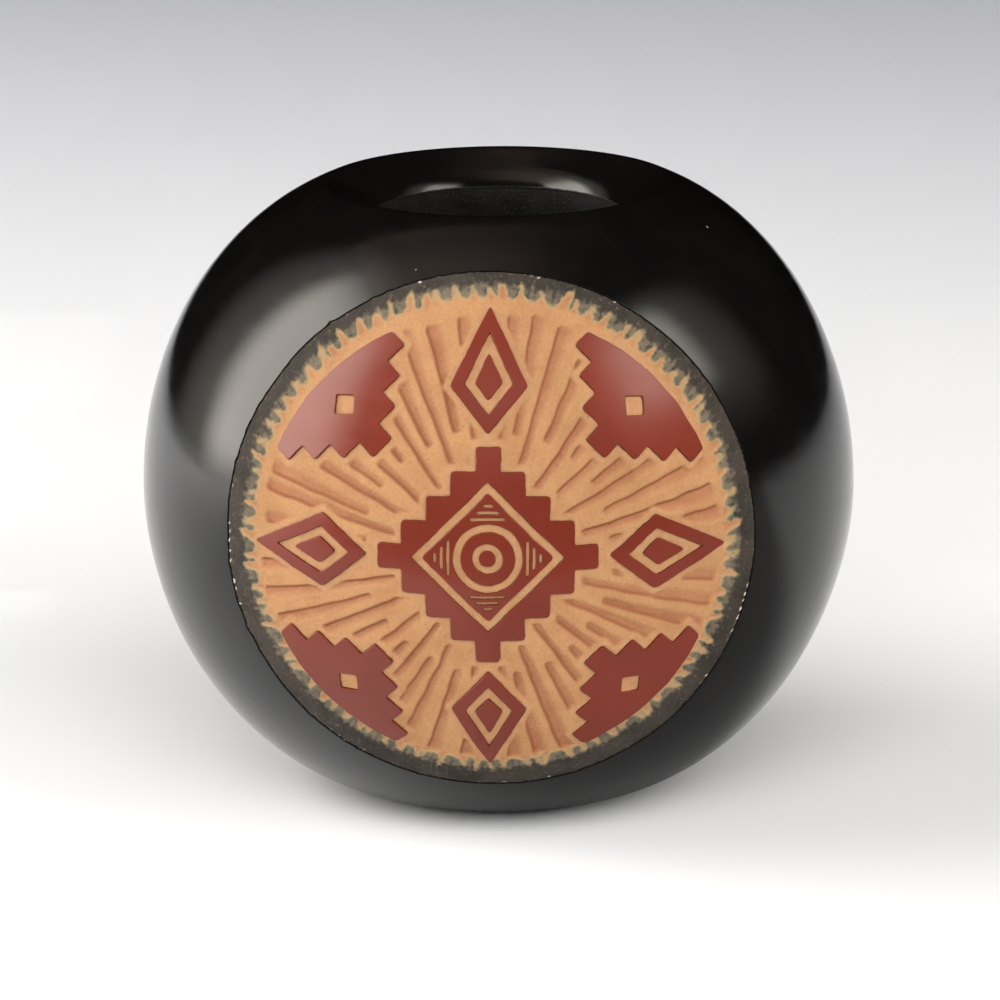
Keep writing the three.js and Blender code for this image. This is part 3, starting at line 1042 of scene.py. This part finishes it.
# Carved ground. Inside the border the knife went through the slip into the clay of the wall, which is still
# tan there. Wide gouges radiate between the red islands, a fringe of short picks runs round the edge, and
# outside it the clay was only scraped, so it is dull, rough and sooty.
ground_spacing = 0.0002
below_spacing = 0.002
ground_under = 0.00078
ground_reach = panel_radius + 0.00045
ground_depth = 0.00032
island_depth = 0.0006
gouge_count = 52
gouge_share = 0.66
gouge_depth = 0.00032
gouge_starts = (0.0096, 0.0152)
gouge_end = 0.0306
gouge_gap = 0.0007
gouge_wander = 0.0001
gouge_lean = 0.03
steep_width = 0.00028
shade_inset = 0.00014
shade_width = 0.00019
fringe_start = 0.0307
fringe_lift = 0.0010
fringe_soot = 0.0014
fringe_wander = 0.00025
char_start = 0.0018
char_end = 0.0036
streak_circle = 0.022
pick_count = 92
pick_lengths = (0.0026, 0.0042)
pick_half_widths = (0.00052, 0.0009)
pick_depth = 0.00016
pick_lean = 0.3
pick_ragged = 0.00012
soot_depth = 0.00014
rough_depth = 0.00004
stroke_depth = 0.00004
streak_depth = 0.000012
chip_spots = ((-1, -0.003, 0.006), (1, -0.012, 0.004))
border_step = 0.00015
pale_inset = 0.0003
pale_width = 0.00028


def gouges(flat, from_island):
    """Depth of the wide radial gouges, and a painted shade line along the steep side of each."""
    reach, turn = polar(flat)
    draw = np.random.default_rng(71)
    depth, painted_shoulder_shade = np.zeros((2, len(flat)))
    wobble = gouge_wander * waves(flat, 0.004, 72)
    for k in range(gouge_count):
        middle = 2 * math.pi * (k + draw.uniform(-0.1, 0.1)) / gouge_count
        steep = 1 if math.sin(middle) > 0 else -1
        lean = draw.uniform(-gouge_lean, gouge_lean)
        wide = draw.uniform(0.86, 1.08)
        start = gouge_starts[k % 2] + draw.uniform(-0.0003, 0.0005)
        end = gouge_end + draw.uniform(-0.0008, 0.0003)
        deep = draw.uniform(0.75, 1.1)
        off = turn_from(middle, turn)
        across = steep * (off * reach + lean * (reach - start) + wobble)
        half = wide * gouge_share * math.pi * np.maximum(reach, gouge_starts[1]) / gouge_count
        along = np.minimum(np.minimum(reach - start, end - reach), from_island - gouge_gap)
        nose = np.clip(along / (0.5 * half), 0, 1)
        half = half * (0.4 + 0.6 * np.sqrt(np.clip(1 - (1 - nose) ** 2, 0, 1)))
        floor = ease(half - across, 0, steep_width) * ease(half + across, 0, 1.3 * half)
        # Painted shade: a thin line along the steep wall of each gouge, standing for the shade that falls
        # in it.
        line = np.exp(-(((half - across - shade_inset) / shade_width) ** 2))
        here = np.abs(off) < 0.3
        depth = np.maximum(depth, deep * floor * ease(along, 0, 0.0004) * here)
        painted_shoulder_shade = np.maximum(painted_shoulder_shade, line * ease(along, 0, 0.0007) * here)
    return depth, painted_shoulder_shade


def fringe_at(turn):
    """Where the fringe starts at a turn. Its ring sits a little high inside the border."""
    return fringe_start + fringe_lift * np.sin(turn)


def picks(flat):
    """Where the short picks of the fringe cut into the sooty edge, and how deep each is at its floor."""
    reach, turn = polar(flat)
    draw = np.random.default_rng(73)
    cut, floor = np.zeros((2, len(flat)))
    ragged = pick_ragged * waves(flat, 0.0008, 74)
    for k in range(pick_count):
        middle = 2 * math.pi * (k + draw.uniform(-0.22, 0.22)) / pick_count
        start = fringe_at(middle)
        end = start + draw.uniform(*pick_lengths)
        lean = draw.uniform(-pick_lean, pick_lean)
        wide = draw.uniform(*pick_half_widths)
        strong = draw.uniform(0.55, 1.0)
        off = turn_from(middle, turn)
        across = off * reach + lean * (reach - start)
        share = np.clip((reach - start) / (end - start), 0, 1)
        half = wide * (1 - 0.55 * share ** 2) + ragged
        here = np.abs(off) < 0.2
        mark = ease(half - np.abs(across), -0.0002, 0.0004) * ease(1 - share, 0, 0.4)
        cut = np.maximum(cut, strong * mark * here)
        groove = np.exp(-((across / (0.45 * wide)) ** 2)) * ease(1 - share, 0, 0.5) * ease(share, 0.02, 0.3)
        floor = np.maximum(floor, strong * groove * here)
    return cut, floor


def make_carved_clay():
    """Knife-cut tan clay, pinker in the gouges and sooty at the edge, with painted shade along each gouge's
    steep wall.
    """
    material, tree, shader = new_material("carved_clay")
    ridge = mix_clay(tree, (180, 134, 92), (172, 125, 85), (140, 96, 66), 0.04)
    gouge = mix_clay(tree, (167, 114, 81), (157, 104, 73), (124, 80, 58), 0.06)
    soot = mix_clay(tree, (112, 101, 84), (94, 87, 74), (134, 122, 100), 0.2)
    char = mix_clay(tree, (62, 56, 50), (48, 44, 40), (92, 86, 74), 0.2)
    place = surface_place(tree)
    clay = blend_colours(tree, read_mask(tree, "gouge"), ridge["Colour"], gouge["Colour"])
    # Painted shade: the steep wall of each gouge is darkened with a flat brown.
    clay = blend_colours(tree, read_mask(tree, "painted_shoulder_shade"), clay, colour(133, 79, 52))
    clay = blend_colours(tree, read_mask(tree, "pale"), clay, colour(186, 143, 107))
    blotch = work_out(tree, "MULTIPLY_ADD", noise(tree, place, 1200.0, 4.0), 1.8, read_mask(tree, "char"))
    sooty = blend_colours(tree, stretch(tree, blotch, 0.75, 1.5), soot["Colour"], char["Colour"])
    smoke = work_out(tree, "MULTIPLY_ADD", noise(tree, place, 1500.0, 5.0), 1.5, 0.38)
    smoke = work_out(tree, "MULTIPLY", smoke, read_mask(tree, "soot"))
    clay = blend_colours(tree, stretch(tree, smoke, 0.05, 0.6), clay, colour(168, 143, 104))
    clay = blend_colours(tree, stretch(tree, smoke, 0.3, 1.0), clay, sooty)
    clay = blend_colours(tree, read_mask(tree, "chip"), clay, colour(226, 214, 194))
    fill_sockets(
        tree, shader, Base_Color=clay, Roughness=0.85, Specular_IOR_Level=0.2,
        Normal=relief(tree, ridge["Height"], 0.00014),
    )
    return material


carved_clay = make_carved_clay()


def ground_net():
    """A net of square faces over the flat panel, a little past its border, and their corners' places."""
    steps = int(ground_reach / ground_spacing) + 1
    line = ground_spacing * np.arange(-steps, steps + 1)
    flat = np.stack(np.meshgrid(line, line), axis=-1).reshape(-1, 2)
    kept = polar(flat)[0] <= ground_reach
    cells = net_faces(len(line), len(line))
    used, faces = drop_unused(cells[kept[cells].all(axis=1)].tolist())
    return flat[used], faces


def carve(flat):
    """Depth of the ground at each place, and the masks that its material reads."""
    reach, turn = polar(flat)
    border = border_at(turn)
    loops = [loop for outline, holes in red_areas.values() for loop in [outline, *holes]]
    under_red = is_within(flat, loops)
    from_island = np.where(under_red, -1, 1) * distance_to(flat, loops)
    gouge, painted_shoulder_shade = gouges(flat, from_island)
    cut, floor = picks(flat)
    inner_edge = fringe_at(turn) + fringe_wander * waves(flat, 0.003, 75)
    soot = np.clip(ease(reach, inner_edge, inner_edge + fringe_soot) - 0.92 * cut, 0, 1)
    around = streak_circle * turn
    streaks = waves(np.stack([around, 0.08 * reach], axis=-1), 0.0006, 79)
    char = 0.8 * ease(reach, inner_edge + char_start, inner_edge + char_end) + 0.25 * streaks
    likely = sum(
        np.exp(-(((flat[:, 1] - middle) / spread) ** 2)) * (side * flat[:, 0] > 0)
        for side, middle, spread in chip_spots
    )
    chips = ease(waves(flat, 0.0013, 80) + 0.75 * likely, 0.85, 1.0)
    chip = ease(reach - border, -0.00034, -0.0002) * ease(border - reach, -0.00012, -0.00004) * chips
    rough = rough_depth * (waves(flat, 0.0009, 76) + 0.5 * waves(flat, 0.00045, 77))
    strokes = stroke_depth * waves(np.stack([around, 0.25 * reach], axis=-1), 0.0017, 81)
    depth = ground_depth + gouge_depth * gouge + 0.5 * rough + streak_depth * streaks + strokes
    depth = depth + pick_depth * floor
    depth = depth + (soot_depth + 1.3 * rough - depth) * soot
    depth += (island_depth - depth) * ease(-from_island, 0.00005, 0.0003)
    depth += (slip_thickness + border_step - depth) * ease(reach - border, 0.0, 0.00025)
    gouge = np.maximum(gouge, 0.8 * floor)
    pale = np.exp(-(((from_island - pale_inset) / pale_width) ** 2)) * (0.4 + 0.4 * waves(flat, 0.002, 78))
    masks = {"gouge": gouge, "painted_shoulder_shade": painted_shoulder_shade, "pale": pale, "soot": soot, "char": char, "chip": chip}
    return depth, masks


def make_carved_ground():
    """The carved clay as a thin closed skin that lies on the wall's coils."""
    flat, faces = ground_net()
    depth, masks = carve(flat)
    rim = edges_of(faces)
    follow = dict(rim)
    loop = [rim[0][0]]
    while follow[loop[-1]] != loop[0]:
        loop.append(follow[loop[-1]])
    below_flat, below_faces = fill_outlines([flat[loop]], below_spacing)
    top = panel_place(flat, depth)
    below = panel_place(below_flat, ground_under)
    count = len(top)
    faces += [tuple(count + corner for corner in reversed(face)) for face in below_faces]
    for i, here in enumerate(loop):
        beside = (i + 1) % len(loop)
        faces.append((here, count + i, count + beside, loop[beside]))
    piece = new_piece("carved_clay_face", np.concatenate([top, below]), faces, carved_clay)
    for mask_name, values in masks.items():
        set_mask(piece, mask_name, np.append(values, np.zeros(len(below))))
    return piece


carved_ground = make_carved_ground()
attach(carved_ground, "root")

# Studio. The bowl stands on pale seamless paper. A tall lit cloth at the left, a smaller one at the right
# and a dim ceiling show only as reflections in the slip. Three more cloths, at the left, at the right and
# over the camera, light only dull surfaces. The paper carries painted shade: it darkens and cools towards
# the back, and in front of the bowl it is painted darker where the slip mirrors it, a painted shadow seen
# only in reflections.
table_left, table_right = -1.6, 1.6
table_front, table_back = -0.16, 0.62
room_light = 0.09
lamp_distance = 0.6


def make_paper():
    """Matt paper with painted shade: cooler and darker towards the back, and a painted shadow where the
    slip mirrors it near the bowl.
    """
    material, tree, shader = new_material("table_paper")
    axes = add_node(tree, "ShaderNodeSeparateXYZ", Vector=surface_place(tree)).outputs
    # Painted falloff of light: the paper's colour darkens and cools towards the back.
    back = stretch(tree, axes["Y"], 0.12, 0.72)
    tone = blend_colours(tree, back, colour(242, 243, 244), colour(212, 214, 222))
    # Painted shadow for mirrored rays only: in front of the bowl, and most to its right, the paper is
    # darkened towards black.
    mirrored = add_node(tree, "ShaderNodeLightPath").outputs["Is Glossy Ray"]
    near = stretch(tree, axes["Y"], 0.018, -0.012)
    dim = stretch(tree, axes["X"], -0.035, 0.012, 0.05, 0.66)
    dim = work_out(tree, "MULTIPLY", work_out(tree, "MULTIPLY", dim, near), mirrored)
    tone = blend_colours(tree, dim, tone, (0.0, 0.0, 0.0, 1.0))
    fill_sockets(tree, shader, Base_Color=tone, Roughness=0.9, Specular_IOR_Level=0.0)
    return material


def make_floor():
    """The table's paper, lit level with the foot."""
    corners = np.array([
        [table_left, table_front, 0], [table_right, table_front, 0],
        [table_right, table_back, 0], [table_left, table_back, 0],
    ])
    return new_piece("floor", corners, [(0, 1, 2, 3)], make_paper())


floor = make_floor()


def hang_cloth(name, place, tilt, turn, width, height, tint, glows, shows=True):
    """A lit cloth. Each glow has a brightness, where 1 is the picture's white, and fades in and out over
    four places across the cloth and four up it. It either shows in reflections or lights dull surfaces."""
    light = bpy.data.lights.new(name, "AREA")
    light.shape = "RECTANGLE"
    light.size = width
    light.size_y = height
    peak = max(brightness for brightness, _, _ in glows)
    light.energy = math.pi * width * height * peak
    light.color = tint
    light.use_nodes = True
    tree = light.node_tree
    cloth = add_node(tree, "ShaderNodeNewGeometry").outputs["Parametric"]
    spot = add_node(tree, "ShaderNodeSeparateXYZ", Vector=cloth).outputs
    total = 0.0
    for brightness, across, up in glows:
        glow = brightness / peak
        for share, edges in ((spot["X"], across), (spot["Y"], up)):
            for low, high in ((edges[0], edges[1]), (edges[3], edges[2])):
                glow = work_out(tree, "MULTIPLY", glow, stretch(tree, share, low, high))
        total = work_out(tree, "ADD", total, glow)
    tree.links.new(total, tree.nodes["Emission"].inputs["Strength"])
    lamp = bpy.data.objects.new(name, light)
    lamp.location = place
    lamp.rotation_euler = (tilt, 0, turn)
    lamp.visible_camera = False
    lamp.visible_glossy = shows
    lamp.visible_diffuse = not shows
    bpy.context.scene.collection.objects.link(lamp)


def beside(turn, height, away=lamp_distance):
    """Place at a distance from the bowl, at a turn from the camera's side, with its middle at a height."""
    return (away * math.sin(turn), -away * math.cos(turn), height)


upright = math.pi / 2
left_turn = math.radians(-90)
right_turn = math.radians(62)
daylight = (1.0, 0.95, 0.86)
hang_cloth(
    "left_cloth", beside(left_turn, 0.8), upright, left_turn, 1.5, 1.6, daylight,
    [
        (6.3, (0.33, 0.45, 0.75, 0.80), (-0.02, 0.06, 0.33, 0.71)),
        (1.0, (0.09, 0.42, 0.75, 0.80), (-0.01, 0.0, 0.52, 0.96)),
    ],
)
hang_cloth(
    "right_cloth", beside(right_turn, 0.55), upright, right_turn, 1.6, 1.1, daylight,
    [
        (4.4, (0.35, 0.44, 0.60, 0.70), (0.25, 0.36, 0.58, 0.80)),
        (0.9, (0.32, 0.44, 0.60, 1.0), (0.09, 0.40, 0.62, 1.0)),
    ],
)
hang_cloth(
    "ceiling", (0, 0, 1.04), 0, 0, 1.2, 1.2, (1.0, 0.76, 0.64),
    [
        (0.26, (-0.01, 0.0, 0.25, 0.85), (0.0, 0.2, 0.90, 0.94)),
        (0.50, (-0.01, 0.0, 0.01, 0.9), (0.0, 0.2, 0.45, 0.80)),
    ],
)
hang_cloth(
    "left_fill", beside(left_turn, 0.45), upright, left_turn, 0.8, 0.9, (1.0, 0.97, 0.95),
    [(8.3, (0.0, 0.3, 0.7, 1.0), (0.0, 0.1, 0.6, 1.0))], False,
)
hang_cloth(
    "right_fill", beside(right_turn, 0.5), upright, right_turn, 0.8, 0.8, (1.0, 0.97, 0.95),
    [(7.1, (0.0, 0.3, 0.7, 1.0), (0.0, 0.1, 0.6, 1.0))], False,
)
hang_cloth(
    "front_fill", beside(0, 0.62, 0.9), math.radians(60), 0, 1.2, 0.8, (1.0, 0.99, 0.97),
    [(5.7, (0.0, 0.2, 0.8, 1.0), (0.0, 0.2, 0.8, 1.0))], False,
)

world = bpy.data.worlds.new("white_room")
world.use_nodes = True
room = world.node_tree.nodes["Background"]
fill_sockets(world.node_tree, room, Color=(0.97, 0.98, 1.0, 1), Strength=room_light)
world.cycles_visibility.glossy = False
bpy.context.scene.world = world
bpy.context.scene.view_settings.view_transform = "Standard"

camera_distance = 0.8
camera_tilt = math.radians(15)
camera_target = (0, 0, 0.036)
camera_data = bpy.data.cameras.new("camera")
camera_data.sensor_width = 36
camera_data.lens = 227.3
camera_data.shift_x = 0.002
camera_data.shift_y = 0.0009
camera_data.clip_start = 0.01
camera_data.clip_end = 10
camera = bpy.data.objects.new("camera", camera_data)
camera.location = (
    camera_target[0],
    camera_target[1] - camera_distance * math.cos(camera_tilt),
    camera_target[2] + camera_distance * math.sin(camera_tilt),
)
camera.rotation_euler = (math.pi / 2 - camera_tilt, 0, 0)
bpy.context.scene.collection.objects.link(camera)
bpy.context.scene.camera = camera
